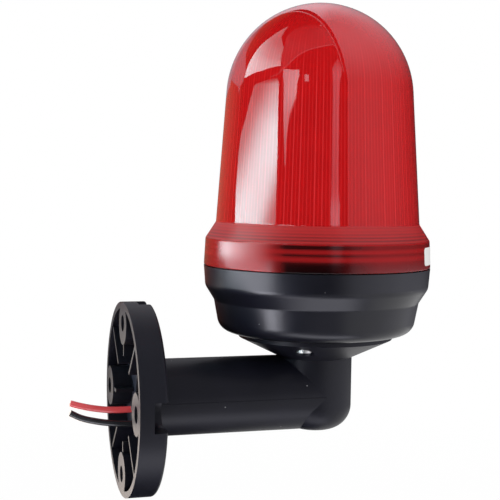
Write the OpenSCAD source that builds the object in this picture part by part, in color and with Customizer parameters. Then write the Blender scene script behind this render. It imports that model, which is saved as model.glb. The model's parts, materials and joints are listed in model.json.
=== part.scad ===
// Flashing signal light on an L-shaped wall bracket.
// The origin is the centre of the flange's back face on the wall.
// +X runs out of the wall along the arm, +Z is up, and the beacon stands on the arm's far end.

/* [Wall flange] */
// Outside diameter of the round flange on the wall
flange_d = 71; // [68:0.5:80]
// Depth of the flange from the wall to its front face
flange_depth = 9.8; // [8.8:0.2:12]
// Radius of the rounding on the flange's front edge
flange_edge = 1.2; // [0.6:0.1:1.6]
// Thickness of the flange's front plate
plate_t = 2.4; // [1.8:0.2:3]
// Thickness of the flange's rim
rim_t = 2.4; // [1.8:0.2:3]
// Diameter of the circle through the centres of the four wall holes
bolt_circle_d = 55.6; // [54:0.2:58]
// Diameter of each wall hole
wall_hole_d = 6; // [4.6:0.2:6.6]
// Diameter of the round boss behind each wall hole
wall_boss_d = 15; // [14:0.2:16]
// Distance from each wall hole inward to the centre of its boss
wall_boss_inset = 0.4; // [0:0.2:3]
// Width of the open pocket for each wall screw's head
head_pocket_w = 10.5; // [9.5:0.1:11.5]
// Depth of that pocket from the front face
head_pocket_depth = 4.8; // [3:0.2:5.4]
// Thickness of the pocket's floor and side walls
pocket_wall = 1.6; // [1.2:0.1:2.2]
// Thickness of the stiffening ribs behind the plate
rib_t = 1.2; // [0.8:0.1:1.8]
// Distance that the ribs stay back from the wall
rib_setback = 0.4; // [0.2:0.1:1.5]
// Distance from the arm's axis to the inner ends of the ribs
rib_inner_r = 15.8; // [15.4:0.1:18]

/* [Arm] */
// Distance from the wall to the beacon's axis
arm_reach = 74.5; // [68:0.5:90]
// Outside diameter of the arm and its riser
tube_d = 28.4; // [26:0.2:30]
// Wall thickness of the arm and its riser
tube_wall = 2.5; // [2:0.1:3]
// Radius of the rounding under the elbow
elbow_round = 9.5; // [6:0.5:11]
// Radius of the fillet where the arm leaves the flange
root_fillet = 2; // [1:0.2:3]

/* [Bracket head] */
// Diameter of the conical head that carries the beacon
head_d = 58.6; // [57:0.2:61]
// Distance from the arm's top down to the foot of the cone
cone_drop = 0.4; // [0.2:0.1:1.5]
// Height of the cone from its foot to the head's rim
head_rise = 7.3; // [6.6:0.1:8.6]
// Height of the head's upright rim
head_rim_h = 1.5; // [1:0.1:2.4]
// Wall thickness of the cone
head_wall = 2.4; // [2:0.1:3]
// Radius of the circle that the three head screws lie on
screw_circle_r = 22.5; // [21.6:0.1:23]
// Thickness of plastic under each screw head
screw_seat_t = 2.4; // [1.8:0.1:2.8]
// Thickness of the gasket between the bracket and the base
gasket_t = 0.6; // [0.4:0.1:1.5]
// Distance from the head's rim in to the gasket's edge
gasket_inset = 1.5; // [0.8:0.1:3]

/* [Screws and nuts] */
// Shank diameter of the head screws
screw_d = 3; // [2.5:0.5:4]
// Head diameter of the head screws
screw_head_d = 5.5; // [5:0.1:7.4]
// Head height of the head screws
screw_head_h = 2; // [1.6:0.1:3]
// Shank length of the head screws
screw_l = 12; // [11:0.5:14]
// Width across flats of the nuts
nut_af = 5.5; // [5:0.1:7.5]
// Height of the nuts
nut_h = 2.4; // [2:0.1:3.6]
// Shank diameter of the board screws
board_screw_d = 3; // [2.5:0.1:3]
// Shank length of the board screws
board_screw_l = 8; // [6:0.5:9]
// Radial room round a screw in a plain hole
hole_clear = 0.2; // [0.1:0.05:0.4]
// Radial room between a screw and the thread that holds it
thread_room = 0.05; // [0.02:0.01:0.1]

/* [Base] */
// Diameter of the base and the lens collar at their joint
base_d = 86; // [85:0.5:90]
// Height of the base from its bottom to the lens joint
base_h = 25; // [24:0.5:30]
// Height of the upright band below the lens joint
band_h = 7.6; // [6:0.2:9]
// Distance that the band's lower edge lies in from the joint
band_in = 0.6; // [0:0.1:1.2]
// Distance that the waist below the band lies in from the joint
waist_in = 4; // [3:0.1:4.8]
// Height of the waist above the bottom
waist_h = 12; // [10:0.2:14]
// Distance that the lower wall lies in from the joint where it would meet the bottom
foot_in = 6.25; // [5.5:0.05:7]
// Radius of the rounding at the bottom
foot_round = 5.5; // [3.5:0.5:7]
// Radius of the soft edge below the band
band_edge = 4.4; // [2:0.1:5]
// Radius of the soft corner at the waist
waist_edge = 1.8; // [0.8:0.1:2.4]
// Wall thickness of the base
base_wall = 2.4; // [2:0.1:3]
// Thickness of the base's floor
floor_t = 3; // [2.4:0.1:4]
// Distance that the threaded neck lies in from the joint
neck_in = 3.6; // [3.4:0.1:4.2]
// Height of the neck above the lens joint
neck_h = 9; // [7:0.2:9.4]
// Height of the board above the floor
post_h = 11.8; // [11:0.2:14]

/* [Lens] */
// Height of the lens collar
collar_h = 10.1; // [9.8:0.1:13]
// Distance that the collar's top edge lies in from the joint
collar_in = 0.5; // [0:0.1:1]
// Height of the slope between collar and body
flare_h = 6.1; // [5:0.1:8]
// Distance that the body's foot lies in from the joint
body_in = 4.4; // [4:0.1:5.5]
// Height of the body up to the centre of its round top
body_h = 47.1; // [46:0.5:60]
// Angle that the body's wall leans inward
draft_angle = 3.9; // [2:0.1:5]
// Radius of the soft edges at both ends of the slope
lens_edge = 1.6; // [0.8:0.1:2.4]
// Wall thickness of the lens
lens_wall = 2.3; // [1.9:0.1:2.8]
// Number of upright flutes inside the lens
flute_count = 90; // [48:6:120]
// Depth of the flutes
flute_depth = 0.5; // [0.3:0.1:0.7]
// Gap between the lens and the base at their joint
lens_gap = 0.3; // [0.2:0.1:0.6]
// Depth of the thread between neck and lens
thread_depth = 1.4; // [1.2:0.1:1.6]
// Height of the rubber ring under the lens
seal_h = 2; // [1.5:0.1:2.5]
// Width of the rubber ring
seal_w = 1.4; // [1:0.1:1.4]

/* [Light source] */
// Thickness of the driver board
board_t = 1.6; // [1.2:0.1:2]
// Gap between the driver board and the base's wall
board_gap = 1.3; // [0.8:0.1:2]
// Height of the column that carries the lamp boards
carrier_h = 70; // [66:1:76]
// Width of that column across its flats
carrier_af = 26; // [24:0.5:30]
// Width of each lamp board
lamp_board_w = 12; // [10:0.5:13]
// Height of each lamp board
lamp_board_h = 62; // [56:1:63]
// Thickness of each lamp board
lamp_board_t = 1; // [0.8:0.1:1.6]
// Lamps on each board
lamp_count = 5; // [3:1:7]
// Outside diameter of each lead
lead_d = 2.4; // [1.8:0.1:2.6]
// Distance between the two leads at their connector
lead_pitch = 5; // [4.5:0.1:5.4]

/* [Hidden] */
$fn = 96;
cut = 0.5; // how far a cut runs past the face it opens

// Heights on the beacon's axis, from the arm's axis up
tube_r = tube_d / 2;
bore_r = tube_r - tube_wall;
head_r = head_d / 2;
cone_z = tube_r - cone_drop;
rim_z = cone_z + head_rise;
head_z = rim_z + head_rim_h;
base_z = head_z + gasket_t;
floor_z = base_z + floor_t;
board_z = floor_z + post_h;
board_top = board_z + board_t;
joint_z = base_z + base_h;
lens_z = joint_z + lens_gap;
collar_z = lens_z + collar_h;
body_z = collar_z + flare_h;
dome_z = body_z + body_h;

// Flange
flange_r = flange_d / 2;
hole_circle_r = bolt_circle_d / 2;
boss_circle_r = hole_circle_r - wall_boss_inset;
pocket_floor_x = flange_depth - head_pocket_depth;
hole_angles = [0, 90, 180, 270];
rib_angles = [45, 135, 225, 315];

// Screws that hold the base on the bracket
screw_angles = [0, 120, 240];
seat_z = head_z - screw_seat_t;
screw_pocket_room = 0.8;
screw_pocket_r = screw_head_d / 2 + screw_pocket_room;
screw_boss_wall = 2;
screw_boss_r = screw_pocket_r + screw_boss_wall;
screw_hole_r = screw_d / 2 + hole_clear;
driver_slot = [0.8, 0.85]; // width and depth of the slot in a screw's head
nut_web = 0.8;
nut_room = 0.1;
nut_z = floor_z + nut_web;
nut_boss_wall = 2.4;
nut_boss_r = nut_af / sqrt(3) + nut_boss_wall;

// Base
base_r = base_d / 2;
band_r = base_r - band_in;
waist_r = base_r - waist_in;
foot_r = base_r - foot_in;
cavity_r = foot_r - base_wall;
neck_r = base_r - neck_in;
neck_bore_r = neck_r - base_wall;
band_z = joint_z - band_h;
waist_z = base_z + waist_h;

// Driver board, its posts and its screws
board_r = cavity_r - board_gap;
post_angles = [60, 180, 300];
post_wall = 1.5;
post_r = board_screw_d / 2 + post_wall;
post_inset = 1;
post_circle_r = board_r - post_r - post_inset;
post_hole_spare = 1;
post_hole_depth = board_screw_l - board_t + post_hole_spare;
board_head_d = 5.5;
board_head_h = 1.8;
component_inset = 7;
component_r = board_r - component_inset; // circle that the components stand on

// Grommet in the middle of the floor
grommet_r = 7;
grommet_lip = 2;
grommet_lip_t = 1.2;
grommet_room = 0.05;
lead_room = 0.1;

// Lens and its seal
collar_top_r = base_r - collar_in;
body_r = base_r - body_in;
dome_r = body_r * cos(draft_angle) - body_h * sin(draft_angle);
tangent_r = dome_r * cos(draft_angle);
tangent_z = dome_z + dome_r * sin(draft_angle);
bore_lens_r = neck_r + thread_depth;
bore_drop = 0.6; // from the collar's top down to the end of the bore
seal_gap = 0.8;
seal_in_r = neck_r + seal_gap;
seal_out_r = seal_in_r + seal_w;
seal_room = 0.1;
flute_land = 0.4;
flute_runout = 4;
flute_lap = 0.5;
dome_in_r = dome_r - lens_wall - flute_land;
flute_z = body_z - flute_lap;
flute_h = dome_z + flute_runout - flute_z;
flute_low_r = body_r - lens_wall;
flute_high_r = flute_low_r - flute_h * tan(draft_angle);

// Column of lamp boards
lamp_sides = 6;
column_turn = 180 / lamp_sides; // brings a flat of the column to the front
carrier_top = board_top + carrier_h;
carrier_foot_w = 5;
carrier_foot_r = carrier_af / 2 + carrier_foot_w;
carrier_foot_t = 2;
carrier_wall = 2;
peg_r = 1.5;
peg_inset = 2.6;
peg_circle_r = carrier_foot_r - peg_inset;
peg_angles = [30, 150, 270];
peg_end = 1; // how far a peg shows under the board
lamp_board_drop = 1.5;
lamp_z = carrier_top - lamp_board_drop - lamp_board_h / 2;
lamp_size = [3.5, 2.8, 1.2];
lamp_lens_r = 1.1;
lamp_lens_sink = 0.1;
top_board_inset = 1;
top_board_r = carrier_af / 2 - top_board_inset;
top_lamp_inset = 5;
top_lamp_r = top_board_r - top_lamp_inset;

// Connector under the driver board
connector_size = [11, 8, 6];
nozzle_wall = 0.8;
nozzle_end = 7; // from the board down to the leads' ends

// Middle lines of the leads, from the connector down the riser and out through the arm
red_route = [
    [72, 0, 31], [72, 0, 26], [72, 0, 20], [72, 0, 14], [71.5, 0, 9], [70, 0, 4.5], [67, 0, 1],
    [63, 0, -1.4], [58, 0, -3], [52, 0, -4], [45, 0, -4.6], [37, 0, -5], [29, 0, -5], [21, 0, -4.7],
    [13, 0, -4.3], [6, 0, -4], [0, 0, -4], [-5, 0, -3.8], [-10, 0, -3.1], [-15, 0, -2], [-19, 0, -0.8]
];
black_route = [
    [77, 0, 31], [77, 0, 26], [77, 0, 20], [77, 0, 14], [77, 0, 8], [76.4, 0, 3], [74.6, 0, -1.5],
    [71.4, 0, -5.4], [67, 0, -8], [61.6, 0, -9.4], [55, 0, -9.9], [47, 0, -10], [39, 0, -10],
    [31, 0, -10], [23, 0, -9.9], [15, 0, -9.7], [7, 0, -9.4], [0, 0, -9.1], [-5, 0, -8.6],
    [-10, 0, -7.7], [-15, 0, -6.3], [-19, 0, -4.3]
];
lead_sides = 8;

// Puts a child on the beacon's axis
module on_axis(z = 0) {
    translate([arm_reach, 0, z]) children();
}

// Repeats a child round the beacon's axis
module round_axis(angles, radius, z) {
    for (a = angles) {
        on_axis(z) rotate(a) translate([radius, 0, 0]) children();
    }
}

// Repeats a child round the arm's axis, turned so that its Z runs out of the wall and its X outward
module round_flange(angles) {
    for (a = angles) {
        rotate([a, 0, 0]) rotate([0, 90, 0]) children();
    }
}

function unit(v) = v / norm(v);

// Sliver between a corner and the arc that rounds it
module corner_piece(before, corner, after, r) {
    to_before = unit(before - corner);
    to_after = unit(after - corner);
    inward = unit(to_before + to_after);
    half = acos(to_before * to_after) / 2;
    reach = r / tan(half);
    difference() {
        polygon([corner - inward * r / 4, corner + to_before * reach, corner + to_after * reach]);
        translate(corner + inward * r / sin(half)) circle(r = r);
    }
}

// Outline with its corners rounded: a positive radius trims a corner, a negative one fills it
module rounded_outline(points, radii) {
    n = len(points);
    difference() {
        polygon(points);
        for (i = [0:n - 1]) {
            if (radii[i] > 0) corner_piece(points[(i + n - 1) % n], points[i], points[(i + 1) % n], radii[i]);
        }
    }
    for (i = [0:n - 1]) {
        if (radii[i] < 0) corner_piece(points[(i + n - 1) % n], points[i], points[(i + 1) % n], -radii[i]);
    }
}

// Cylinder that lies along X
module x_cylinder(r, from, to) {
    translate([from, 0, 0]) rotate([0, 90, 0]) cylinder(r = r, h = to - from);
}

// Turned dish of the flange, open to the wall
module flange_body() {
    rotate([0, 90, 0]) rotate_extrude() difference() {
        rounded_outline(
            [[0, 0], [flange_r, 0], [flange_r, flange_depth], [0, flange_depth]],
            [0, 0, flange_edge, 0]
        );
        translate([0, -cut]) square([flange_r - rim_t, flange_depth - plate_t + cut]);
    }
}

// Boss of one wall screw, with the block that carries its open pocket
module wall_boss() {
    intersection() {
        union() {
            translate([boss_circle_r, 0, 0]) cylinder(d = wall_boss_d, h = flange_depth - cut);
            translate([boss_circle_r, -head_pocket_w / 2 - pocket_wall, pocket_floor_x - pocket_wall])
                cube([flange_r, head_pocket_w + 2 * pocket_wall, head_pocket_depth + pocket_wall - cut]);
            translate([rib_inner_r, -rib_t / 2, rib_setback])
                cube([boss_circle_r - rib_inner_r, rib_t, flange_depth - rib_setback - cut]);
        }
        cylinder(r = flange_r - rim_t / 2, h = flange_depth);
    }
}

module wall_pocket() {
    translate([hole_circle_r, 0, pocket_floor_x]) cylinder(d = head_pocket_w, h = flange_depth);
    translate([hole_circle_r, -head_pocket_w / 2, pocket_floor_x])
        cube([flange_r, head_pocket_w, flange_depth]);
    translate([hole_circle_r, 0, -cut]) cylinder(d = wall_hole_d, h = flange_depth);
}

module flange_rib() {
    translate([rib_inner_r, -rib_t / 2, rib_setback])
        cube([flange_r - rim_t / 2 - rib_inner_r, rib_t, flange_depth - rib_setback - cut]);
}

module root_fillet_ring() {
    translate([flange_depth, 0, 0]) rotate([0, 90, 0]) rotate_extrude() difference() {
        translate([tube_r - cut, -cut]) square([root_fillet + cut, root_fillet + cut]);
        translate([tube_r + root_fillet, root_fillet]) circle(r = root_fillet);
    }
}

// Riser with its rounded lower end, cone and rim, as one turned profile
module riser_body() {
    on_axis() rotate_extrude() rounded_outline(
        [[0, -tube_r], [tube_r, -tube_r], [tube_r, cone_z], [head_r, rim_z], [head_r, head_z], [0, head_z]],
        [0, elbow_round, 0, 0, 0, 0]
    );
}

// Hollow under the head's top face, between the riser, the cone and the screw bosses
module head_hollow() {
    slope = head_rise / (head_r - tube_r);
    low_z = cone_z + head_wall * sqrt(1 + slope * slope);
    difference() {
        on_axis() rotate_extrude() polygon([
            [tube_r, low_z], [tube_r + (head_z + cut - low_z) / slope, head_z + cut], [tube_r, head_z + cut]
        ]);
        round_axis(screw_angles, screw_circle_r, 0) cylinder(r = screw_boss_r, h = head_z + 2 * cut);
    }
}

module wall_bracket() {
    color("#232323") difference() {
        union() {
            flange_body();
            round_flange(hole_angles) wall_boss();
            round_flange(rib_angles) flange_rib();
            x_cylinder(tube_r, flange_depth - plate_t, arm_reach);
            root_fillet_ring();
            riser_body();
        }
        round_flange(hole_angles) wall_pocket();
        x_cylinder(bore_r, -cut, arm_reach);
        on_axis() sphere(r = bore_r);
        on_axis() cylinder(r = bore_r, h = head_z + cut);
        head_hollow();
        round_axis(screw_angles, screw_circle_r, 0) cylinder(r = screw_pocket_r, h = seat_z);
        round_axis(screw_angles, screw_circle_r, 0) cylinder(r = screw_hole_r, h = head_z + cut);
    }
}

module bracket_gasket() {
    color("#1a1a1a") difference() {
        on_axis(head_z) cylinder(r = head_r - gasket_inset, h = gasket_t);
        on_axis(head_z - cut) cylinder(r = bore_r, h = gasket_t + 2 * cut);
        round_axis(screw_angles, screw_circle_r, head_z - cut)
            cylinder(r = screw_hole_r, h = gasket_t + 2 * cut);
    }
}

// Slotted screw that stands on its head, with the head's bearing face at zero
module slotted_screw(shank_d, shank_l, cap_d, cap_h) {
    difference() {
        union() {
            translate([0, 0, -cap_h]) cylinder(d = cap_d, h = cap_h);
            cylinder(d = shank_d, h = shank_l);
        }
        translate([-driver_slot[0] / 2, -cap_d, -cap_h - cut])
            cube([driver_slot[0], 2 * cap_d, driver_slot[1] + cut]);
    }
}

module bracket_screws() {
    color("#d9d9d6") round_axis(screw_angles, screw_circle_r, seat_z)
        slotted_screw(screw_d, screw_l, screw_head_d, screw_head_h);
}

// Hexagon of a given width across its flats
module hexagon(af) {
    circle(r = af / sqrt(3), $fn = 6);
}

module base_nuts() {
    color("#c9c9c6") round_axis(screw_angles, screw_circle_r, nut_z) linear_extrude(nut_h) difference() {
        hexagon(nut_af);
        circle(r = screw_d / 2 + thread_room);
    }
}

// Turned outside of the base, from its flat bottom up to the neck
module base_outline() {
    rounded_outline(
        [
            [0, base_z], [foot_r, base_z], [waist_r, waist_z], [band_r, band_z], [base_r, joint_z],
            [neck_r, joint_z], [neck_r, joint_z + neck_h], [0, joint_z + neck_h]
        ],
        [0, foot_round, -waist_edge, band_edge, 0, 0, 0, 0]
    );
}

module base_cavity() {
    polygon([
        [0, floor_z], [cavity_r, floor_z], [cavity_r, waist_z], [neck_bore_r, band_z],
        [neck_bore_r, joint_z + neck_h + cut], [0, joint_z + neck_h + cut]
    ]);
}

module base_housing() {
    color("#1f1f1f") difference() {
        union() {
            on_axis() rotate_extrude() difference() {
                base_outline();
                base_cavity();
            }
            round_axis(screw_angles, screw_circle_r, floor_z - cut)
                cylinder(r = nut_boss_r, h = nut_web + nut_h + cut);
            round_axis(post_angles, post_circle_r, floor_z - cut) cylinder(r = post_r, h = post_h + cut);
        }
        on_axis(base_z - cut) cylinder(r = grommet_r, h = floor_t + 2 * cut);
        round_axis(screw_angles, screw_circle_r, base_z - cut) cylinder(r = screw_hole_r, h = base_h);
        round_axis(screw_angles, screw_circle_r, nut_z)
            linear_extrude(nut_h + cut) hexagon(nut_af + 2 * nut_room);
        round_axis(post_angles, post_circle_r, board_z - post_hole_depth)
            cylinder(r = board_screw_d / 2 + thread_room, h = post_hole_depth + cut);
    }
}

// Grommet in the floor, with one hole for each lead
module lead_grommet() {
    color("#151515") on_axis(base_z) difference() {
        rotate_extrude() {
            square([grommet_r - grommet_room, floor_t]);
            translate([0, -grommet_lip_t]) square([grommet_r + grommet_lip, grommet_lip_t]);
            translate([0, floor_t]) square([grommet_r + grommet_lip, grommet_lip_t]);
        }
        for (side = [-1, 1]) {
            translate([side * lead_pitch / 2, 0, -grommet_lip_t - cut])
                cylinder(r = lead_d / 2 + lead_room, h = floor_t + 2 * (grommet_lip_t + cut));
        }
    }
}

module driver_board() {
    color("#1d5c38") difference() {
        on_axis(board_z) cylinder(r = board_r, h = board_t);
        round_axis(post_angles, post_circle_r, board_z - cut)
            cylinder(r = board_screw_d / 2 + hole_clear, h = board_t + 2 * cut);
        round_axis(peg_angles, peg_circle_r, board_z - cut)
            cylinder(r = peg_r + hole_clear, h = board_t + 2 * cut);
    }
}

module board_screws() {
    color("#cfcfcc") round_axis(post_angles, post_circle_r, board_top) mirror([0, 0, 1])
        slotted_screw(board_screw_d, board_screw_l, board_head_d, board_head_h);
}

// Electrolytic can with its crimped groove, standing on the board
module smoothing_capacitor() {
    can_r = 4;
    can_h = 11.5;
    groove_r = 0.4;
    groove_z = 1.6;
    color("#2b3a55") round_axis([20], component_r, board_top) rotate_extrude() difference() {
        square([can_r, can_h]);
        translate([can_r, groove_z]) circle(r = groove_r);
    }
}

// Eight-legged flat chip
module flasher_chip() {
    body = [5, 4, 1.5];
    stand = 0.15;
    leg = [0.4, 1, 0.6];
    leg_pitch = 1.27;
    color("#262626") round_axis([95], component_r, board_top) {
        translate([-body[0] / 2, -body[1] / 2, stand]) cube(body);
        for (side = [-1, 1]) {
            for (i = [0:3]) {
                translate([(i - 1.5) * leg_pitch - leg[0] / 2, side * (body[1] + leg[1]) / 2 - leg[1] / 2, 0])
                    cube([leg[0], leg[1], leg[2]]);
            }
        }
        translate([-body[0] / 2, -body[1] / 2, 0]) cube([body[0], body[1], stand]);
    }
}

// Flat power transistor with its soldered tab and two legs
module switching_transistor() {
    body = [6.1, 6.5, 2.3];
    tab = [1.2, 5.4, 0.5];
    leg = [2.7, 0.8, 0.5];
    leg_pitch = 4.6;
    color("#2a2a2a") round_axis([140], component_r, board_top) {
        translate([-body[0] / 2, -body[1] / 2, 0]) cube(body);
        translate([body[0] / 2, -tab[1] / 2, 0]) cube(tab);
        for (side = [-1, 1]) {
            translate([-body[0] / 2 - leg[0], side * leg_pitch / 2 - leg[1] / 2, 0]) cube(leg);
        }
    }
}

module protection_diode() {
    body = [4.3, 3.6, 2.3];
    foot = [5.4, 2, 0.4];
    color("#303030") round_axis([215], component_r, board_top) {
        translate([-body[0] / 2, -body[1] / 2, 0]) cube(body);
        translate([-foot[0] / 2, -foot[1] / 2, 0]) cube(foot);
    }
}

module resistors() {
    body = [1.6, 3.2, 0.6];
    color("#1b1b1b") round_axis([226:12:286], component_r, board_top)
        translate([-body[0] / 2, -body[1] / 2, 0]) cube(body);
}

// Push-in connector under the board, with a round nozzle that each lead ends in
module lead_connector() {
    color("#e8e8e2") on_axis(board_z) mirror([0, 0, 1]) {
        translate([-connector_size[0] / 2, -connector_size[1] / 2, 0]) cube(connector_size);
        for (side = [-1, 1]) {
            translate([side * lead_pitch / 2, 0, 0]) cylinder(r = lead_d / 2 + nozzle_wall, h = nozzle_end);
        }
    }
}

// Hexagonal column on a round foot, closed at the top and pegged into the board
module led_carrier() {
    color("#ececec") {
        on_axis(board_top) linear_extrude(carrier_h - carrier_wall) difference() {
            rotate(column_turn) hexagon(carrier_af);
            rotate(column_turn) hexagon(carrier_af - 2 * carrier_wall);
        }
        on_axis(carrier_top - carrier_wall) linear_extrude(carrier_wall)
            rotate(column_turn) hexagon(carrier_af);
        on_axis(board_top) linear_extrude(carrier_foot_t) difference() {
            circle(r = carrier_foot_r);
            rotate(column_turn) hexagon(carrier_af - carrier_wall);
        }
        round_axis(peg_angles, peg_circle_r, board_z - peg_end) cylinder(r = peg_r, h = peg_end + board_t + cut);
    }
}

// Places a child on the middle of one face of the column, with Z out of that face and X down
module on_face(i) {
    on_axis(lamp_z) rotate((i - 1) * 360 / lamp_sides) translate([carrier_af / 2, 0, 0])
        rotate([0, 90, 0]) children();
}

module led_board(i) {
    color("#f2f2f0") on_face(i) translate([-lamp_board_h / 2, -lamp_board_w / 2, 0])
        cube([lamp_board_h, lamp_board_w, lamp_board_t]);
}

// One surface-mounted lamp with its round lens
module lamp() {
    translate([-lamp_size[1] / 2, -lamp_size[0] / 2, 0]) cube([lamp_size[1], lamp_size[0], lamp_size[2]]);
    intersection() {
        translate([0, 0, lamp_size[2]]) sphere(r = lamp_lens_r);
        translate([-lamp_lens_r, -lamp_lens_r, lamp_size[2] - lamp_lens_sink]) cube(2 * lamp_lens_r);
    }
}

module led_row(i) {
    spacing = lamp_board_h / lamp_count;
    color("#e05a50") on_face(i) for (k = [0:lamp_count - 1]) {
        translate([(k - (lamp_count - 1) / 2) * spacing, 0, lamp_board_t]) lamp();
    }
}

module led_top_board() {
    color("#f2f2f0") on_axis(carrier_top) cylinder(r = top_board_r, h = lamp_board_t);
}

module led_top_leds() {
    color("#e05a50") round_axis([45:90:315], top_lamp_r, carrier_top + lamp_board_t) lamp();
}

// Direction of a route at one of its points
function along(route, i) =
    let(d = route[min(i + 1, len(route) - 1)] - route[max(i - 1, 0)]) d / norm(d);

// Ring of points round a route that lies in an upright plane along X
function ring(route, i, r) = let(t = along(route, i), side = [0, 1, 0], up = cross(t, side)) [
    for (k = [0:lead_sides - 1])
        let(a = 360 * (k + 0.5) / lead_sides) route[i] + r * (cos(a) * side + sin(a) * up)
];

// Round tube swept along a route
module tube(route, r) {
    last = len(route) - 1;
    points = [for (i = [0:last]) each ring(route, i, r)];
    walls = [
        for (i = [0:last - 1]) for (k = [0:lead_sides - 1])
            let(a = i * lead_sides + k, b = i * lead_sides + (k + 1) % lead_sides)
                [a, b, b + lead_sides, a + lead_sides]
    ];
    first_cap = [for (k = [lead_sides - 1:-1:0]) k];
    last_cap = [for (k = [0:lead_sides - 1]) last * lead_sides + k];
    polyhedron(points, concat(walls, [first_cap, last_cap]));
}

module red_lead() {
    color("#b3262a") tube(red_route, lead_d / 2);
}

module black_lead() {
    color("#1c1c1c") tube(black_route, lead_d / 2);
}

module lens_seal() {
    color("#141414") on_axis(joint_z) difference() {
        cylinder(r = seal_out_r, h = seal_h);
        translate([0, 0, -cut]) cylinder(r = seal_in_r, h = seal_h + 2 * cut);
    }
}

// Turned outside of the lens: collar, slope, drafted body and round top
module lens_outline() {
    rounded_outline(
        [
            [0, lens_z], [base_r, lens_z], [collar_top_r, collar_z], [body_r, body_z],
            [tangent_r, tangent_z], [0, tangent_z]
        ],
        [0, 0, lens_edge, -lens_edge, 0, 0]
    );
    intersection() {
        translate([0, dome_z]) circle(r = dome_r);
        translate([0, tangent_z]) square(dome_r);
    }
}

// Star whose points are the bottoms of the flutes
module flute_star(r) {
    polygon([
        for (i = [0:2 * flute_count - 1])
            let(a = 180 * i / flute_count, p = r + flute_depth * (i % 2)) [p * cos(a), p * sin(a)]
    ]);
}

module lens_cavity() {
    shoulder_z = collar_z - bore_drop;
    cylinder(r = bore_lens_r, h = shoulder_z);
    cylinder(r = seal_out_r + seal_room, h = joint_z + seal_h);
    translate([0, 0, shoulder_z])
        cylinder(r1 = bore_lens_r, r2 = flute_low_r + 2 * flute_depth, h = body_z - shoulder_z);
    translate([0, 0, flute_z])
        linear_extrude(flute_h, scale = flute_high_r / flute_low_r) flute_star(flute_low_r);
    translate([0, 0, dome_z]) sphere(r = dome_in_r);
}

module lens() {
    color("#c01020") on_axis() difference() {
        rotate_extrude() lens_outline();
        lens_cavity();
    }
}

wall_bracket();
bracket_gasket();
bracket_screws();
base_nuts();
base_housing();
lead_grommet();
driver_board();
board_screws();
smoothing_capacitor();
flasher_chip();
switching_transistor();
protection_diode();
resistors();
lead_connector();
led_carrier();
for (i = [1:lamp_sides]) {
    led_board(i);
    led_row(i);
}
led_top_board();
led_top_leds();
red_lead();
black_lead();
lens_seal();
lens();
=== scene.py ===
import json
import math
import bpy
from mathutils import Matrix, Vector


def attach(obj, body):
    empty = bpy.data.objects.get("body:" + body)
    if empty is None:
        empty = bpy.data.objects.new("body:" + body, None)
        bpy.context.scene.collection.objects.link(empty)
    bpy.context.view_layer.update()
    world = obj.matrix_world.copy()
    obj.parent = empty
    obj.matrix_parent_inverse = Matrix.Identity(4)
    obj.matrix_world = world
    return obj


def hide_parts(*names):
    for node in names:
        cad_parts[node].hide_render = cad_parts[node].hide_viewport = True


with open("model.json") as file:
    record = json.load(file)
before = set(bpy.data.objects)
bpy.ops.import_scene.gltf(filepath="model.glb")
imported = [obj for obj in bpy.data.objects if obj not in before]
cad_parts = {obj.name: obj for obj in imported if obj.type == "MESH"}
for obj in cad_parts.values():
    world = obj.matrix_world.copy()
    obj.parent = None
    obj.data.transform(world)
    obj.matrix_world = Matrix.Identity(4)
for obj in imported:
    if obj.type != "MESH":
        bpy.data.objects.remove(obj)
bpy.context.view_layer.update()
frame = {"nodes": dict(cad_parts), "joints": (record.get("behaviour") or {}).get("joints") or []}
nodes = frame["nodes"]
mm = 0.001
turn = 2 * math.pi
lensJoint = next(j for j in frame["joints"] if j["name"] == "lens_turn")
beaconX = lensJoint["pos_m"][0]      # the beacon's upright axis


# small helpers

def srgb(code):
    # "#rrggbb" as a linear colour with alpha
    parts = [int(code[i:i + 2], 16) / 255 for i in (1, 3, 5)]
    return tuple(c / 12.92 if c <= 0.04045 else ((c + 0.055) / 1.055) ** 2.4 for c in parts) + (1.0,)


mixFrom, mixTo, mixResult = 6, 7, 2      # the colour sockets of a Mix node, whose names repeat


def feed(tree, node, inputs):
    # a number or colour goes straight on the socket, and a node or one of its outputs is linked to it
    for socket, value in inputs.items():
        if isinstance(value, bpy.types.Node):
            value = value.outputs[0]
        if isinstance(value, bpy.types.NodeSocket):
            tree.links.new(value, node.inputs[socket])
        else:
            node.inputs[socket].default_value = value


def addNode(tree, kind, inputs=None, stops=None, **settings):
    # one node with its settings and what it is fed; a ramp also has stops of (position, colour)
    node = tree.nodes.new(kind)
    for name, value in settings.items():
        setattr(node, name, value)
    feed(tree, node, inputs or {})
    if stops:
        marks = node.color_ramp.elements
        while len(marks) < len(stops):
            marks.new(0.5)
        for mark, (position, colour) in zip(marks, stops):
            mark.position = position
            mark.color = colour
    return node


def newMaterial(name):
    # a material with its main shader, and the place on the object in metres
    material = bpy.data.materials.new(name)
    material.use_nodes = True
    tree = material.node_tree
    tree.nodes.clear()
    shader = addNode(tree, "ShaderNodeBsdfPrincipled")
    addNode(tree, "ShaderNodeOutputMaterial", {"Surface": shader})
    spot = addNode(tree, "ShaderNodeTexCoord").outputs["Object"]
    return material, tree, shader, spot


def perMetre(size):
    # texture scale for a grain of this many millimetres
    return 1 / (size * mm)


def addPiece(name, points, faces, material, body, smooth=True):
    mesh = bpy.data.meshes.new(name)
    mesh.from_pydata(points, [], faces)
    mesh.validate()
    for face in mesh.polygons:
        face.use_smooth = smooth
    mesh.materials.append(material)
    piece = bpy.data.objects.new(name, mesh)
    bpy.context.scene.collection.objects.link(piece)
    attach(piece, body)
    return piece


def onBeacon(r, a, z):
    # a point round the beacon's axis, from millimetres and an angle
    return (beaconX + r * math.cos(a) * mm, r * math.sin(a) * mm, z * mm)


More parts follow.
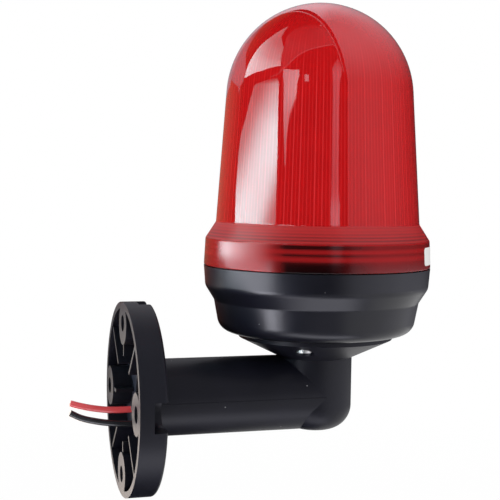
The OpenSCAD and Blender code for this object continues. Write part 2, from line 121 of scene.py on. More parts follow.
def arc(start, end, centre, steps):
    # points from start to end round a centre, both ends included
    a = Vector(start) - Vector(centre)
    b = Vector(end) - Vector(centre)
    whole = a.angle(b)
    points = []
    for k in range(steps + 1):
        t = k / steps
        p = (a * math.sin((1 - t) * whole) + b * math.sin(t * whole)) / math.sin(whole)
        points.append(Vector(centre) + p)
    return points


def roundCorners(corners, steps=5):
    # corners are (radius, height, rounding) in mm, and each rounded corner becomes an arc
    points = []
    for i, (r, z, rounding) in enumerate(corners):
        here = Vector((r, z))
        if rounding == 0:
            points.append(here)
            continue
        back = (Vector(corners[i - 1][:2]) - here).normalized()
        ahead = (Vector(corners[i + 1][:2]) - here).normalized()
        half = back.angle(ahead) / 2
        reach = rounding / math.tan(half)
        centre = here + (back + ahead).normalized() * rounding / math.sin(half)
        points += arc(here + back * reach, here + ahead * reach, centre, steps)
    return points


def smoothStep(x):
    x = min(1, max(0, x))
    return x * x * (3 - 2 * x)


# camera, at the photograph's viewing angle

cameraSpot = dict(yaw=16.727, pitch=3.451, roll=0.859, distance=0.39548, target=(0.047936, 0, 0.054294),
                  focal=75.94, sensor=36, nearest=0.01)


def addCamera(spot):
    yaw, pitch, roll = (math.radians(spot[k]) for k in ("yaw", "pitch", "roll"))
    back = Vector((-math.sin(yaw) * math.cos(pitch), -math.cos(yaw) * math.cos(pitch), math.sin(pitch)))
    right = Vector((math.cos(yaw), -math.sin(yaw), 0))
    up = back.cross(right)
    tilted = right * math.cos(roll) + up * math.sin(roll)
    data = bpy.data.cameras.new("camera")
    data.lens = spot["focal"]
    data.sensor_width = spot["sensor"]
    data.clip_start = spot["nearest"]
    camera = bpy.data.objects.new("camera", data)
    bpy.context.scene.collection.objects.link(camera)
    turned = Matrix((tilted, back.cross(tilted), back)).transposed().to_4x4()
    camera.matrix_world = Matrix.Translation(Vector(spot["target"]) + back * spot["distance"]) @ turned
    bpy.context.scene.camera = camera


addCamera(cameraSpot)
print("camera set")


# supply leads: extruded PVC over tinned strands, cut off square behind the wall plane

leadSettings = dict(
    diameter=2.4, sideSteps=6, knotSteps=10,
    strand=0.42, strandCount=6, strandSides=10, coreShow=0.05,
    # a strand's outline up to its cut end, as (share of its radius, mm along)
    strandProfile=[(1.0, -1.0), (1.0, -0.03), (0.7, 0.0)],
    # routes as (x, z) in mm, from the connector to the cut end
    red=[(72, 31), (72, 26), (72, 20), (72, 14), (71.5, 9), (70, 4.5), (67, 1), (63, -1.4), (58, -3),
         (52, -4), (45, -4.6), (37, -5), (29, -5), (21, -4.7), (13, -4.3), (6, -4), (0, -4), (-5, -3.8),
         (-10, -3.1), (-15, -2), (-19, -0.8)],
    black=[(77, 31), (77, 26), (77, 20), (77, 14), (77, 8), (76.4, 3), (74.6, -1.5), (71.4, -5.4), (67, -8),
           (61.6, -9.4), (55, -9.9), (47, -10), (39, -10), (31, -10), (23, -9.9), (15, -9.7), (7, -9.4),
           (0, -9.1), (-5, -8.6), (-10, -7.7), (-15, -6.3), (-19, -4.3)],
)


def pvcInsulation(name, colour, worn, dragWidth=0.5, dragStretch=0.15):
    # extruded PVC: smooth, with faint lengthwise drag lines and a waxy shine
    material, tree, shader, spot = newMaterial(name)
    stretched = addNode(tree, "ShaderNodeMapping", {"Vector": spot, "Scale": (dragStretch, 1, 1)})
    drag = addNode(tree, "ShaderNodeTexNoise",
                   {"Vector": stretched, "Scale": perMetre(dragWidth), "Detail": 3.0})
    tone = addNode(tree, "ShaderNodeValToRGB", {"Fac": drag}, stops=[(0.0, srgb(colour)), (1.0, srgb(worn))])
    bump = addNode(tree, "ShaderNodeBump", {"Height": drag, "Distance": 0.01 * mm, "Strength": 0.4})
    feed(tree, shader, {"Base Color": tone, "Normal": bump, "Roughness": 0.25, "IOR": 1.53,
                        "Coat Weight": 1.0, "Coat Roughness": 0.2})
    return material


def tinnedCopper(patch=0.3):
    # drawn copper strands, tinned: dull silver, greyer where the tin has tarnished
    material, tree, shader, spot = newMaterial("tinnedCopper")
    tarnish = addNode(tree, "ShaderNodeTexNoise", {"Vector": spot, "Scale": perMetre(patch)})
    tone = addNode(tree, "ShaderNodeValToRGB", {"Fac": tarnish},
                   stops=[(0.0, srgb("#7d7a76")), (1.0, srgb("#b9b5ae"))])
    feed(tree, shader, {"Base Color": tone, "Metallic": 1.0, "Roughness": 0.32})
    return material


def addLead(name, node, route, insulation, copper):
    points = [Vector((x * mm, 0, z * mm)) for x, z in route]
    along = (points[-1] - points[-2]).normalized()
    end = points[-1]
    points[-1] = end - along * leadSettings["coreShow"] * mm
    data = bpy.data.curves.new(name, "CURVE")
    data.dimensions = "3D"
    data.bevel_depth = leadSettings["diameter"] / 2 * mm
    data.bevel_resolution = leadSettings["sideSteps"]
    data.resolution_u = leadSettings["knotSteps"]
    data.use_fill_caps = True
    spline = data.splines.new("BEZIER")
    spline.bezier_points.add(len(points) - 1)
    for knot, p in zip(spline.bezier_points, points):
        knot.co = p
        knot.handle_left_type = knot.handle_right_type = "AUTO"
    data.materials.append(insulation)
    lead = bpy.data.objects.new(name, data)
    bpy.context.scene.collection.objects.link(lead)
    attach(lead, "mounted_unit")
    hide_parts(node)
    core = addCore(name + "Core", end, along, copper)


def addCore(name, end, along, copper):
    # one strand in the middle and a ring of them round it, each a short rod with a bevelled cut end
    across = Vector((0, 1, 0))
    up = along.cross(across)
    radius = leadSettings["strand"] / 2 * mm
    count, sides = leadSettings["strandCount"], leadSettings["strandSides"]
    profile = leadSettings["strandProfile"]

    def ring(steps):
        angles = [turn * k / steps for k in range(steps)]
        return [across * math.cos(a) + up * math.sin(a) for a in angles]

    points, faces = [], []
    for place in [Vector()] + [way * 2 * radius for way in ring(count)]:
        first = len(points)
        for r, back in profile:
            points += [end + place + along * back * mm + way * r * radius for way in ring(sides)]
        for row in range(len(profile) - 1):
            for k in range(sides):
                a = first + row * sides + k
                b = first + row * sides + (k + 1) % sides
                faces.append((a, b, b + sides, a + sides))
        last = first + (len(profile) - 1) * sides
        faces.append([last + k for k in range(sides)])
        faces.append([first + k for k in reversed(range(sides))])
    return addPiece(name, points, faces, copper, "mounted_unit")


copper = tinnedCopper()
redPvc = pvcInsulation("redPvc", "#ee4c51", "#f5575b")
blackPvc = pvcInsulation("blackPvc", "#222226", "#2c2c30")
addLead("redSupplyLead", "red_lead", leadSettings["red"], redPvc, copper)
addLead("blackSupplyLead", "black_lead", leadSettings["black"], blackPvc, copper)
print("leads made")


# moulded black bracket and base

absFinishes = dict(
    bracketAbs=dict(dark="#0f0f1a", pale="#141420", roughness=0.42, ior=1.35),
    baseAbs=dict(dark="#0f0f1a", pale="#141420", roughness=0.3, ior=1.43),
)
# grain and patch in mm, and the grain is coarser than a real one so that it shows
absSurface = dict(grain=0.35, patch=14, shinier=0.05, duller=0.06)
dust = dict(cell=4.5, reach=0.055, bare=0.82, colour="#8c8c90")      # reach is a share of the cell


def satinAbs(name):
    # moulded ABS from a spark-eroded tool: satin black with a fine even grain, dulled in patches, some dust
    finish = absFinishes[name]
    material, tree, shader, spot = newMaterial(name)
    spark = addNode(tree, "ShaderNodeTexNoise",
                    {"Vector": spot, "Scale": perMetre(absSurface["grain"]), "Detail": 4.0, "Roughness": 0.6})
    patch = addNode(tree, "ShaderNodeTexNoise",
                    {"Vector": spot, "Scale": perMetre(absSurface["patch"]), "Detail": 3.0})
    tone = addNode(tree, "ShaderNodeValToRGB", {"Fac": patch},
                   stops=[(0.3, srgb(finish["dark"])), (0.75, srgb(finish["pale"]))])
    # specks in a few cells of a scatter pattern, about 0.5 mm across: coarser than real dust, to show
    scatter = addNode(tree, "ShaderNodeTexVoronoi", {"Vector": spot, "Scale": perMetre(dust["cell"])})
    near = addNode(tree, "ShaderNodeMath",
                   {0: scatter.outputs["Distance"], 1: dust["reach"]}, operation="LESS_THAN")
    pick = addNode(tree, "ShaderNodeSeparateColor", {0: scatter.outputs["Color"]})
    few = addNode(tree, "ShaderNodeMath", {0: pick, 1: dust["bare"]}, operation="GREATER_THAN")
    speck = addNode(tree, "ShaderNodeMath", {0: near, 1: few}, operation="MULTIPLY")
    dusted = addNode(tree, "ShaderNodeMix",
                     {"Factor": speck, mixFrom: tone, mixTo: srgb(dust["colour"])}, data_type="RGBA")
    dull = addNode(tree, "ShaderNodeMapRange", {0: patch, 3: finish["roughness"] - absSurface["shinier"],
                                                4: finish["roughness"] + absSurface["duller"]})
    bump = addNode(tree, "ShaderNodeBump", {"Height": spark, "Distance": 0.02 * mm, "Strength": 0.35})
    feed(tree, shader, {"Base Color": dusted.outputs[mixResult], "Roughness": dull, "Normal": bump,
                        "IOR": finish["ior"]})
    return material


def dress(names, material):
    for name in names:
        nodes[name].data.materials.clear()
        nodes[name].data.materials.append(material)


bracketAbs = satinAbs("bracketAbs")
baseAbs = satinAbs("baseAbs")
dress(["wall_bracket"], bracketAbs)
dress(["base_housing"], baseAbs)


def stripFaces(first, rows, section):
    # faces along a strip with both ends closed; section is the order round the points of one row
    count = len(section)
    faces = []
    for k in range(rows):
        for i in range(count):
            a = first + count * k + section[i]
            b = first + count * k + section[(i + 1) % count]
            faces.append((a, b, b + count, a + count))
    last = first + count * rows
    return faces + [tuple(first + i for i in reversed(section)), tuple(last + i for i in section)]


neckThread = dict(rootR=39.1, crestR=40.4, rootW=1.6, crestW=0.9, pitch=4, start=50.9, turns=1.25, taper=0.12,
                  least=0.02, steps=200)


def addNeckThread(thread):
    # coarse thread ridge round the neck, run out at both ends
    points = []
    root, rootHalf, crestHalf = thread["rootR"], thread["rootW"] / 2, thread["crestW"] / 2
    for k in range(thread["steps"] + 1):
        t = k / thread["steps"]
        swell = min(1, t / thread["taper"], (1 - t) / thread["taper"])
        crest = root + (thread["crestR"] - root) * max(swell, thread["least"])
        a = turn * thread["turns"] * t
        z = thread["start"] + thread["pitch"] * thread["turns"] * t
        for r, up in ((root, -rootHalf), (crest, -crestHalf), (crest, crestHalf), (root, rootHalf)):
            points.append(onBeacon(r, a, z + up))
    faces = stripFaces(0, thread["steps"], (0, 1, 2, 3))
    addPiece("neckThreadRidge", points, faces, baseAbs, "mounted_unit", smooth=False)


addNeckThread(neckThread)

partingLine = dict(fromX=12.2, toX=74.5, armR=14.2, proud=0.1, sunk=0.1, width=0.36, crestShare=0.36, rows=24)


def addPartingLine(line):
    # thin flash where the mould's halves meet, along both sides of the arm
    points, faces = [], []
    foot = line["width"] / 2
    crest = foot * line["crestShare"]
    section = ((-line["sunk"], -foot), (line["proud"], -crest), (line["proud"], crest), (-line["sunk"], foot))
    for side in (-1, 1):
        faces += stripFaces(len(points), line["rows"], (0, 1, 2, 3))
        for k in range(line["rows"] + 1):
            x = line["fromX"] + (line["toX"] - line["fromX"]) * k / line["rows"]
            points += [(x * mm, side * (line["armR"] + out) * mm, up * mm) for out, up in section]
    addPiece("armPartingLine", points, faces, bracketAbs, "mounted_unit", smooth=False)


addPartingLine(partingLine)
print("bracket and base dressed")


# lens: one closed shell, smooth outside, reeded inside

lensSettings = dict(
    low=48.5, edge=0.4, collarR=43, collarTopR=42.5, collarTop=58.6, bodyR=38.6, bodyLow=64.7, soft=1.6,
    draft=3.9, bodyH=47.1, wall=1.9, crownRows=28, bodyRows=8, sharp=45,
    reeds=90, reedSides=6, reedDepth=0.6, fadeFrom=8, fadeTo=24,
    boreR=40.8, boreTop=58, sealR=41.7, sealTop=50.2, sealStep=0.02, ledgeR=37.3, ledgeDrop=0.05,
    rings=5, ringDepth=0.22, ringRows=6,
    threadPitch=4, threadDepth=0.9, threadW=0.3, threadFlank=0.1, threadRow=0.3, threadAt=0.75,
    threadRunOut=0.9,
)

# painted highlight on the reeds: distances from a crest as shares of a reed, and heights in mm where it dies
# out
reedLight = dict(crestFrom=0.04, crestTo=0.12, crestPeak=0.9, weakest=0.35, grooveFrom=0.42, grooveTo=0.48,
                 groovePeak=0.4, fadeFrom=110, fadeTo=136)


def paintedReedHighlights(tree, spot):
    # painted highlight along the reeds' crests, uneven from reed to reed, and a little in their grooves
    light = reedLight
    place = addNode(tree, "ShaderNodeSeparateXYZ", {0: spot})
    across = addNode(tree, "ShaderNodeMath", {0: place.outputs["X"], 1: beaconX}, operation="SUBTRACT")
    angle = addNode(tree, "ShaderNodeMath", {0: place.outputs["Y"], 1: across}, operation="ARCTAN2")
    phase = addNode(tree, "ShaderNodeMath", {0: angle, 1: lensSettings["reeds"] / turn}, operation="MULTIPLY")
    off = addNode(tree, "ShaderNodeMath", {0: phase, 1: 0.5}, operation="PINGPONG")
    crest = addNode(tree, "ShaderNodeMapRange",
                    {0: off, 1: light["crestFrom"], 2: light["crestTo"], 3: light["crestPeak"], 4: 0.0})
    which = addNode(tree, "ShaderNodeMath", {0: phase}, operation="ROUND")
    uneven = addNode(tree, "ShaderNodeTexWhiteNoise", {"W": which}, noise_dimensions="1D")
    strength = addNode(tree, "ShaderNodeMapRange", {0: uneven.outputs["Value"], 3: light["weakest"], 4: 1.0})
    crest = addNode(tree, "ShaderNodeMath", {0: crest, 1: strength}, operation="MULTIPLY")
    groove = addNode(tree, "ShaderNodeMapRange",
                     {0: off, 1: light["grooveFrom"], 2: light["grooveTo"], 3: 0.0, 4: light["groovePeak"]})
    lines = addNode(tree, "ShaderNodeMath", {0: crest, 1: groove}, operation="ADD")
    fade = addNode(tree, "ShaderNodeMapRange", {0: place.outputs["Z"], 1: light["fadeFrom"] * mm,
                                                2: light["fadeTo"] * mm, 3: 1.0, 4: 0.0})
    return addNode(tree, "ShaderNodeMath", {0: lines, 1: fade}, operation="MULTIPLY").outputs[0]


# painted shade lines: spacing in mm, edges as shares of it, heights above the collar over which they weaken
ringShade = dict(spacing=1.1, lineFrom=0.1, lineTo=0.4, darkest=0.6, fadeFrom=1.5, fadeTo=4.5, fadeLeft=0.2)


def paintedRingShade(tree, spot):
    # painted shade: dark lines in the slope's foot, for the fine rings inside it seen through the plastic
    shade = ringShade
    collarTop = lensSettings["collarTop"] * mm
    place = addNode(tree, "ShaderNodeSeparateXYZ", {0: spot})
    up = addNode(tree, "ShaderNodeMath", {0: place.outputs["Z"], 1: collarTop}, operation="SUBTRACT")
    phase = addNode(tree, "ShaderNodeMath", {0: up, 1: perMetre(shade["spacing"])}, operation="MULTIPLY")
    off = addNode(tree, "ShaderNodeMath", {0: phase, 1: 0.5}, operation="PINGPONG")
    line = addNode(tree, "ShaderNodeMapRange",
                   {0: off, 1: shade["lineFrom"], 2: shade["lineTo"], 3: shade["darkest"], 4: 0.0})
    fade = addNode(tree, "ShaderNodeMapRange",
                   {0: up, 1: shade["fadeFrom"] * mm, 2: shade["fadeTo"] * mm, 3: 1.0, 4: shade["fadeLeft"]})
    return addNode(tree, "ShaderNodeMath", {0: line, 1: fade}, operation="MULTIPLY").outputs[0]


threadShadow = dict(
    # depth of shade over the collar's height, from its foot at 0 to its top at 1
    bands=[(0.0, 1.0), (0.28, 0.98), (0.36, 0.88), (0.43, 0.4), (0.49, 0.25), (0.55, 0.6), (0.61, 0.92),
           (0.66, 0.7), (0.71, 0.25), (0.77, 0.4), (0.84, 0.95), (0.93, 0.96), (0.97, 0.5), (1.0, 0.0)],
    # and across the collar, from the side away from the thread's start at 0 to the start at 1
    start=-158,
    depth=[(0.0, 0.6), (0.6, 0.64), (0.75, 0.95), (0.8, 1.0), (0.915, 1.0), (0.97, 0.1)],
)


def greys(curve):
    # a curve over 0 to 1 as stops from grey to grey
    return [(position, (level, level, level, 1)) for position, level in curve]


def threadShade(tree, spot):
    # painted shade: soft dark bands, for the thread behind the collar seen through it
    low, top, reach = (lensSettings[k] * mm for k in ("low", "collarTop", "collarR"))
    place = addNode(tree, "ShaderNodeSeparateXYZ", {0: spot})
    height = addNode(tree, "ShaderNodeMapRange", {0: place.outputs["Z"], 1: low, 2: top})
    bands = addNode(tree, "ShaderNodeValToRGB", {"Fac": height}, stops=greys(threadShadow["bands"]))
    # painted shade runs out at the left, where the thread starts, and is shallower to the right and behind
    start = math.radians(threadShadow["start"])
    axis = beaconX * math.cos(start)
    leftward = addNode(tree, "ShaderNodeVectorMath",
                       {0: spot, 1: (math.cos(start), math.sin(start), 0)}, operation="DOT_PRODUCT")
    around = addNode(tree, "ShaderNodeMapRange",
                     {0: leftward.outputs["Value"], 1: axis - reach, 2: axis + reach})
    depth = addNode(tree, "ShaderNodeValToRGB", {"Fac": around}, stops=greys(threadShadow["depth"]))
    return addNode(tree, "ShaderNodeMath", {0: bands, 1: depth}, operation="MULTIPLY").outputs[0]


# the body is polished, the slope is satin, and the collar is between the two
# each finish mixes in painted lines: a painted highlight on the body, painted shade on the slope and collar
lensFinishes = dict(
    glossPolycarbonate=dict(coat=0.35, coatRoughness=0.03, haze=0.02, clear=0.6, shine=0.5, ior=1.585,
                            marks=0.001, drawn=paintedReedHighlights, paintedLineColour="#ff4044", paintedLineClear=0.36),
    satinPolycarbonate=dict(coat=0.0, coatRoughness=0.4, haze=0.33, clear=0.58, shine=0.14, ior=1.54,
                            marks=0.01, drawn=paintedRingShade, paintedLineColour="#7a0c12", paintedLineClear=0.75),
    clearPolycarbonate=dict(coat=0.0, coatRoughness=0.3, haze=0.16, clear=0.64, shine=0.5, ior=1.4,
                            marks=0.0, drawn=threadShade, paintedLineColour="#1c0204", paintedLineClear=0.4),
)
lensTint = dict(dark="#ee2226", pale="#f4262a", flow=18, hazier=0.03, markSpacing=0.7, markStretch=0.01)


def redPolycarbonate(name):
    # injection-moulded polycarbonate, tinted through: clear deep red, a little uneven where the melt flowed
    finish = lensFinishes[name]
    material, tree, shader, spot = newMaterial(name)
    flow = addNode(tree, "ShaderNodeTexNoise",
                   {"Vector": spot, "Scale": perMetre(lensTint["flow"]), "Detail": 2.0})
    tone = addNode(tree, "ShaderNodeValToRGB", {"Fac": flow},
                   stops=[(0.3, srgb(lensTint["dark"])), (0.7, srgb(lensTint["pale"]))])
    # the painted highlight or shade lines, which tint the colour and change how clear the plastic is
    drawn = finish["drawn"](tree, spot)
    lined = addNode(tree, "ShaderNodeMix",
                    {"Factor": drawn, mixFrom: tone, mixTo: srgb(finish["paintedLineColour"])}, data_type="RGBA")
    clear = addNode(tree, "ShaderNodeMapRange", {0: drawn, 3: finish["clear"], 4: finish["paintedLineClear"]})
    hazy = addNode(tree, "ShaderNodeMapRange",
                   {0: flow, 3: finish["haze"], 4: finish["haze"] + lensTint["hazier"]})
    # turning marks of the tool, drawn level round the axis
    stretch = lensTint["markStretch"]
    level = addNode(tree, "ShaderNodeMapping", {"Vector": spot, "Scale": (stretch, stretch, 1)})
    turned = addNode(tree, "ShaderNodeTexNoise",
                     {"Vector": level, "Scale": perMetre(lensTint["markSpacing"]), "Detail": 2.0})
    bump = addNode(tree, "ShaderNodeBump",
                   {"Height": turned, "Distance": finish["marks"] * mm, "Strength": 0.6})
    feed(tree, shader, {
        "Base Color": lined.outputs[mixResult], "Transmission Weight": clear, "Roughness": hazy,
        "Normal": bump, "Coat Normal": bump, "IOR": finish["ior"], "Specular IOR Level": finish["shine"],
        "Coat Weight": finish["coat"], "Coat Roughness": finish["coatRoughness"], "Coat IOR": 1.5})
    return material


def lensRows(lens):
    # outside from the foot up to the crown, then inside down again; each row is (height, radius at an angle)
    lean = math.radians(lens["draft"])
    domeZ = lens["bodyLow"] + lens["bodyH"]
    domeR = lens["bodyR"] * math.cos(lean) - lens["bodyH"] * math.sin(lean)
    outer = roundCorners([
        (lens["collarR"] - 2 * lens["edge"], lens["low"], 0), (lens["collarR"], lens["low"], lens["edge"]),
        (lens["collarTopR"], lens["collarTop"], lens["soft"]), (lens["bodyR"], lens["bodyLow"], lens["soft"]),
        (domeR * math.cos(lean), domeZ + domeR * math.sin(lean), 0)])
    crown = lens["crownRows"]
    rising = [lean + (math.pi / 2 - lean) * k / crown for k in range(1, crown)]
    outer += [Vector((domeR * math.cos(up), domeZ + domeR * math.sin(up))) for up in rising]
    rows = [(p[1], lambda a, r=p[0]: r) for p in outer]

    def reeded(r, depth):
        return lambda a: r - depth * abs(math.cos(lens["reeds"] * a / 2))

    innerR = domeR - lens["wall"]
    for up in reversed(rising):
        r = innerR * math.cos(up)
        depth = lens["reedDepth"] * smoothStep((r - lens["fadeFrom"]) / (lens["fadeTo"] - lens["fadeFrom"]))
        rows.append((domeZ + innerR * math.sin(up), reeded(r, depth)))
    tangentZ = domeZ + innerR * math.sin(lean)
    for k in range(lens["bodyRows"] + 1):
        z = tangentZ + (lens["bodyLow"] - tangentZ) * k / lens["bodyRows"]
        r = innerR * math.cos(lean) + (tangentZ - z) * math.tan(lean)
        rows.append((z, reeded(r, lens["reedDepth"])))
    # the ledge that the reeds stand on, then the fine rings inside the slope
    ringRows = lens["ringRows"] * lens["rings"]
    for k in range(ringRows + 1):
        t = k / ringRows
        r = lens["ledgeR"] + (lens["boreR"] - lens["ledgeR"]) * t
        ring = lens["ringDepth"] * math.sin(math.pi * lens["rings"] * t) ** 2
        z = lens["bodyLow"] - lens["ledgeDrop"] + (lens["boreTop"] - lens["bodyLow"]) * t
        rows.append((z, lambda a, r=r - ring: r))

    def threaded(z):
        runOut = lens["threadRunOut"]
        ends = smoothStep((z - lens["sealTop"]) / runOut) * smoothStep((lens["boreTop"] - z) / runOut)

        def radius(a):
            phase = ((z - lens["sealTop"]) / lens["threadPitch"] - a / turn) % 1
            off = abs(phase - lens["threadAt"])
            inside = lens["threadW"] / 2 + lens["threadFlank"] - min(off, 1 - off)
            return lens["boreR"] - lens["threadDepth"] * smoothStep(inside / lens["threadFlank"]) * ends
        return radius

    threadRows = round((lens["boreTop"] - lens["sealTop"]) / lens["threadRow"])
    for k in range(1, threadRows + 1):
        z = lens["boreTop"] + (lens["sealTop"] - lens["boreTop"]) * k / threadRows
        rows.append((z, threaded(z)))
    rows.append((lens["sealTop"] - lens["sealStep"], lambda a: lens["sealR"]))
    rows.append((lens["low"], lambda a: lens["sealR"]))
    return rows, len(outer), (domeZ + domeR, domeZ + innerR)


def addLens(lens):
    rows, outerCount, (outerTop, innerTop) = lensRows(lens)
    sides = lens["reeds"] * lens["reedSides"]
    angles = [turn * k / sides for k in range(sides)]
    points = [onBeacon(radius(a), a, z) for z, radius in rows for a in angles]
    outerApex, innerApex = len(points), len(points) + 1
    points += [(beaconX, 0, outerTop * mm), (beaconX, 0, innerTop * mm)]
    faces = []
    for row in range(len(rows)):
        if row == outerCount - 1:      # the two crowns are closed by fans
            continue
        low, high = row * sides, ((row + 1) % len(rows)) * sides
        for k in range(sides):
            after = (k + 1) % sides
            faces.append((low + k, low + after, high + after, high + k))
    top, under = (outerCount - 1) * sides, outerCount * sides
    for k in range(sides):
        after = (k + 1) % sides
        faces.append((top + k, top + after, outerApex))
        faces.append((under + after, under + k, innerApex))
    gloss, satin, clear = (redPolycarbonate(name) for name in lensFinishes)
    shell = addPiece("redLens", points, faces, gloss, "lens")
    shell.data.materials.append(satin)
    shell.data.materials.append(clear)
    for face in shell.data.polygons:
        height = face.center.z / mm
        face.material_index = 0 if height > lens["bodyLow"] else 1 if height > lens["collarTop"] else 2
    shell.data.set_sharp_from_angle(angle=math.radians(lens["sharp"]))
    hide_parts("lens")
    print("lens has", sum(len(f) - 2 for f in faces), "triangles")


addLens(lensSettings)
print("lens made")


# plain label on the collar's side

labelSettings = dict(fromAngle=-44, toAngle=-3, low=50.05, high=56.65, corner=0.8, lift=0.05, thick=0.04,
                     columns=36)


def coatedPaper(fibreSize=0.6):
    # coated white paper: smooth, faintly fibrous
    material, tree, shader, spot = newMaterial("coatedPaper")
    fibre = addNode(tree, "ShaderNodeTexNoise", {"Vector": spot, "Scale": perMetre(fibreSize), "Detail": 4.0})
    tone = addNode(tree, "ShaderNodeValToRGB", {"Fac": fibre},
                   stops=[(0.0, srgb("#ececea")), (1.0, srgb("#f8f8f6"))])
    feed(tree, shader, {"Base Color": tone, "Roughness": 0.45})
    return material


def addLabel(label):
    # a thin sheet bent round the collar, with rounded corners
    lens = lensSettings
    slope = (lens["collarTopR"] - lens["collarR"]) / (lens["collarTop"] - lens["low"])
    spread = label["toAngle"] - label["fromAngle"]
    width = lens["collarR"] * math.radians(spread)
    corner, columns = label["corner"], label["columns"]
    points = []
    for k in range(columns + 1):
        a = math.radians(label["fromAngle"] + spread * k / columns)
        inFromEnd = min(k, columns - k) / columns * width
        trim = 0
        if inFromEnd < corner:
            trim = corner - math.sqrt(corner ** 2 - (corner - inFromEnd) ** 2)
        for lift in (label["lift"], label["lift"] + label["thick"]):
            for z in (label["low"] + trim, label["high"] - trim):
                points.append(onBeacon(lens["collarR"] + slope * (z - lens["low"]) + lift, a, z))
    faces = stripFaces(0, columns, (0, 2, 3, 1))
    addPiece("collarLabel", points, faces, coatedPaper(), "lens", smooth=False)


addLabel(labelSettings)
print("label made")


# inner pieces, seen dimly through the lens

def plainMoulding(name, dark, pale, grain, roughness, metallic=0.0):
    # a moulded, plated or coated surface with slight mottling
    material, tree, shader, spot = newMaterial(name)
    mottle = addNode(tree, "ShaderNodeTexNoise", {"Vector": spot, "Scale": perMetre(grain), "Detail": 3.0})
    tone = addNode(tree, "ShaderNodeValToRGB", {"Fac": mottle}, stops=[(0.3, srgb(dark)), (0.7, srgb(pale))])
    bump = addNode(tree, "ShaderNodeBump", {"Height": mottle, "Distance": 0.02 * mm, "Strength": 0.3})
    feed(tree, shader, {"Base Color": tone, "Normal": bump, "Roughness": roughness, "Metallic": metallic})
    return material


columnSides = range(1, 7)      # the lamp column is hexagonal
innerFinishes = {
    # moulded black rubber: dull, slightly bloomed
    "mouldedRubber": (["bracket_gasket", "lead_grommet", "lens_seal"],
                      dict(dark="#121213", pale="#1d1d1e", grain=0.8, roughness=0.7)),
    # zinc-plated steel: bright, with the soft sheen of the plating
    "zincPlate": (["bracket_screws", "base_nuts", "board_screws"],
                  dict(dark="#d6d6d3", pale="#ececea", grain=0.7, roughness=0.45, metallic=1.0)),
    # green solder mask on glass laminate
    "solderMask": (["driver_board"], dict(dark="#154a2c", pale="#1c5a37", grain=1.2, roughness=0.35)),
    # drawn aluminium can
    "drawnCan": (["smoothing_capacitor"],
                 dict(dark="#b4b4b8", pale="#cfcfd2", grain=0.6, roughness=0.3, metallic=1.0)),
    # black moulded epoxy of the chips
    "mouldedEpoxy": (["flasher_chip", "switching_transistor", "protection_diode", "resistors"],
                     dict(dark="#1c1c1d", pale="#262628", grain=0.3, roughness=0.5)),
    # white nylon of the connector
    "whiteNylon": (["lead_connector"], dict(dark="#dcdcd2", pale="#ebebe2", grain=0.9, roughness=0.4)),
    # white ABS of the lamp column
    "whiteAbs": (["led_carrier"], dict(dark="#dfdfdd", pale="#ececea", grain=1.5, roughness=0.45)),
    # white solder mask of the lamp boards
    "whiteMask": (["led_board_%d" % i for i in columnSides] + ["led_top_board"],
                  dict(dark="#e6e6e2", pale="#f2f2ee", grain=1.0, roughness=0.35)),
    # red resin of the lamps, glossy
    "lampResin": (["led_row_%d" % i for i in columnSides] + ["led_top_leds"],
                  dict(dark="#d0524a", pale="#e0665c", grain=0.5, roughness=0.12)),
}
for name, (members, finish) in innerFinishes.items():
    dress(members, plainMoulding(name, **finish))
print("inner pieces dressed")


# studio: white ground, a window on the left, a pale wall on the right, and dark felt round the rest

studio = dict(floorDrop=0.30, floorSize=8.0, floorWhite=0.9, whiteFrom=0.7, whiteBeyond=1.5, ambient=1.0,
              middle=(beaconX, 0, 0.09), glowWhite="#f4f4ff")


def towards(azimuth, elevation, reach):
    # a point seen from the lens, azimuth from the front and growing to the right
    a, e = math.radians(azimuth), math.radians(elevation)
    way = Vector((math.sin(a) * math.cos(e), -math.cos(a) * math.cos(e), math.sin(e)))
    return Vector(studio["middle"]) + reach * way


def seenDirectly(tree):
    # 1 for the eye, and for what gloss and clear plastic show of the surroundings
    path = addNode(tree, "ShaderNodeLightPath").outputs
    seen = addNode(tree, "ShaderNodeMath",
                   {0: path["Is Camera Ray"], 1: path["Is Glossy Ray"]}, operation="MAXIMUM")
    return addNode(tree, "ShaderNodeMath", {0: seen, 1: path["Is Transmission Ray"]}, operation="MAXIMUM")


def addWorld():
    world = bpy.data.worlds.new("studio")
    bpy.context.scene.world = world
    world.use_nodes = True
    tree = world.node_tree
    tree.nodes.clear()
    soft = addNode(tree, "ShaderNodeBackground", {"Color": srgb("#ffffff"), "Strength": studio["ambient"]})
    white = addNode(tree, "ShaderNodeBackground", {"Color": srgb("#ffffff"), "Strength": 1.0})
    mix = addNode(tree, "ShaderNodeMixShader", {0: seenDirectly(tree), 1: soft, 2: white})
    addNode(tree, "ShaderNodeOutputWorld", {"Surface": mix})


def surround(name):
    material = bpy.data.materials.new(name)
    material.use_nodes = True
    material.node_tree.nodes.clear()
    return material, material.node_tree


def addSheet(name, points, faces, material):
    mesh = bpy.data.meshes.new(name)
    mesh.from_pydata(points, [], faces)
    mesh.materials.append(material)
    sheet = bpy.data.objects.new(name, mesh)
    bpy.context.scene.collection.objects.link(sheet)
    return sheet


